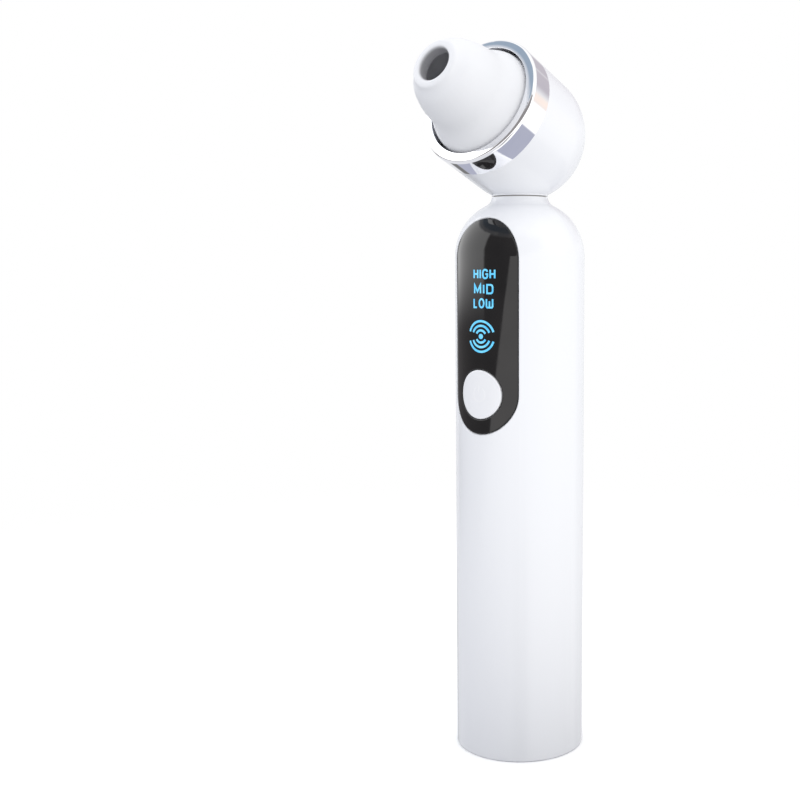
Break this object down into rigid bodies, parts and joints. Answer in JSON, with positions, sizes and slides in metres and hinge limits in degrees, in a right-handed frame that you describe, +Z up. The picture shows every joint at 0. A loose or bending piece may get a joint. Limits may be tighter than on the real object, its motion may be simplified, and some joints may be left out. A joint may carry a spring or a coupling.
{
  "type": "blackhead vacuum extractor",
  "caption": "Pen-shaped pore vacuum: tubular handle with display and button, swivelling tilted head, chrome ring and removable bell tip.",
  "frame": {"origin": "centre of the base face, on the handle's axis", "axes": "+Z up along the handle, -Y towards the display and the suction tip, +X to the right of a person facing the display"},
  "size_m": [0.032, 0.0496, 0.1739],
  "materials": {
    "body_white": "satin-gloss white ABS",
    "cap_white": "fine-textured white ABS",
    "screw_steel": "nickel-plated",
    "chassis_abs": "moulded black ABS",
    "foam_black": "closed-cell foam",
    "foam_grey": "open-cell foam",
    "cell_sleeve": "shrink sleeve",
    "nickel": "nickel strip",
    "wire_red": "PVC insulation",
    "wire_black": "PVC insulation",
    "board_green": "solder mask",
    "component_black": "moulded epoxy",
    "socket_steel": "stamped shell",
    "led_blue": "clear LED package",
    "guide_white": "milky light guide",
    "flex_amber": "polyimide flex",
    "window_black": "high gloss smoked acrylic",
    "film_dark": "printed mask film",
    "button_white": "satin white cap",
    "plunger_abs": "switch plunger",
    "silicone": "translucent silicone",
    "rubber_black": "moulded rubber",
    "motor_plastic": "nylon end cap",
    "motor_steel": "drawn steel can",
    "magnet": "ferrite",
    "bronze": "sintered bronze",
    "shaft_steel": "ground steel",
    "armature_steel": "laminated core",
    "copper": "copper segments",
    "pump_plastic": "glass-filled nylon",
    "brass_eccentric": "turned brass",
    "bushing_acetal": "white acetal",
    "washer_dark": "dark grey acetal",
    "spring_steel": "spring steel",
    "ring_chrome": "mirror chrome plating",
    "seat_white": "moulded ABS",
    "tip_white": "soft satin white"
  },
  "bodies": {
    "handle": {"handle_shell": "body_white", "base_cap": "cap_white", "base_screws": "screw_steel", "chassis": "chassis_abs", "battery_foam": "foam_black", "battery_cell": "cell_sleeve", "battery_tabs": "nickel", "battery_leads": "wire_red", "main_pcb": "board_green", "main_pcb_components": "component_black", "usb_c_socket": "socket_steel", "board_screws": "screw_steel", "display_pcb": "board_green", "display_leds": "led_blue", "light_guide": "guide_white", "display_flex": "flex_amber", "display_window": "window_black", "window_gasket": "foam_black", "legend_film": "film_dark", "tact_switch": "component_black", "button_pad": "silicone", "motor_pad": "rubber_black", "motor_end_cap": "motor_plastic", "motor_leads": "wire_black", "motor_can": "motor_steel", "motor_magnets": "magnet", "motor_bush": "bronze", "crank_housing": "pump_plastic", "wobble_plate": "pump_plastic", "diaphragm": "rubber_black", "valve_plate": "pump_plastic", "valve_flaps": "silicone", "pump_cover": "pump_plastic", "pump_screws": "screw_steel", "exhaust_muffler": "foam_grey", "suction_hose": "silicone", "swivel_bushing": "bushing_acetal", "rotary_nipple": "bushing_acetal", "swivel_washer": "washer_dark", "swivel_clip": "spring_steel"},
    "button": {"power_button": "button_white", "switch_plunger": "plunger_abs"},
    "rotor": {"motor_shaft": "shaft_steel", "motor_armature": "armature_steel", "commutator": "copper", "eccentric": "brass_eccentric"},
    "head": {"head_housing": "body_white", "chrome_ring": "ring_chrome", "nozzle_seat": "seat_white", "seat_screws": "screw_steel", "tip_seal": "rubber_black", "filter_sponge": "foam_grey", "filter_cap": "seat_white", "head_hose": "silicone"},
    "tip": {"suction_tip": "tip_white"}
  },
  "joints": [
    {"name": "head_swivel", "type": "hinge", "parent": "handle", "child": "head", "pos_m": [0, 0, 0.138], "axis": [0, 0, 1], "range_deg": [-90, 90]},
    {"name": "tip_pull", "type": "slide", "parent": "head", "child": "tip", "axis": [0, -0.9232, 0.3843], "range_m": [0, 0.02]},
    {"name": "button_press", "type": "slide", "parent": "handle", "child": "button", "axis": [0, 1, 0], "range_m": [0, 0.0006], "stiffness_N_per_m": 2500, "springref_m": -0.0002, "deforming": ["button_pad"]},
    {"name": "rotor_spin", "type": "hinge", "parent": "handle", "child": "rotor", "pos_m": [0, 0.0022, 0.085], "axis": [0, 0, 1], "continuous": true}
  ]
}
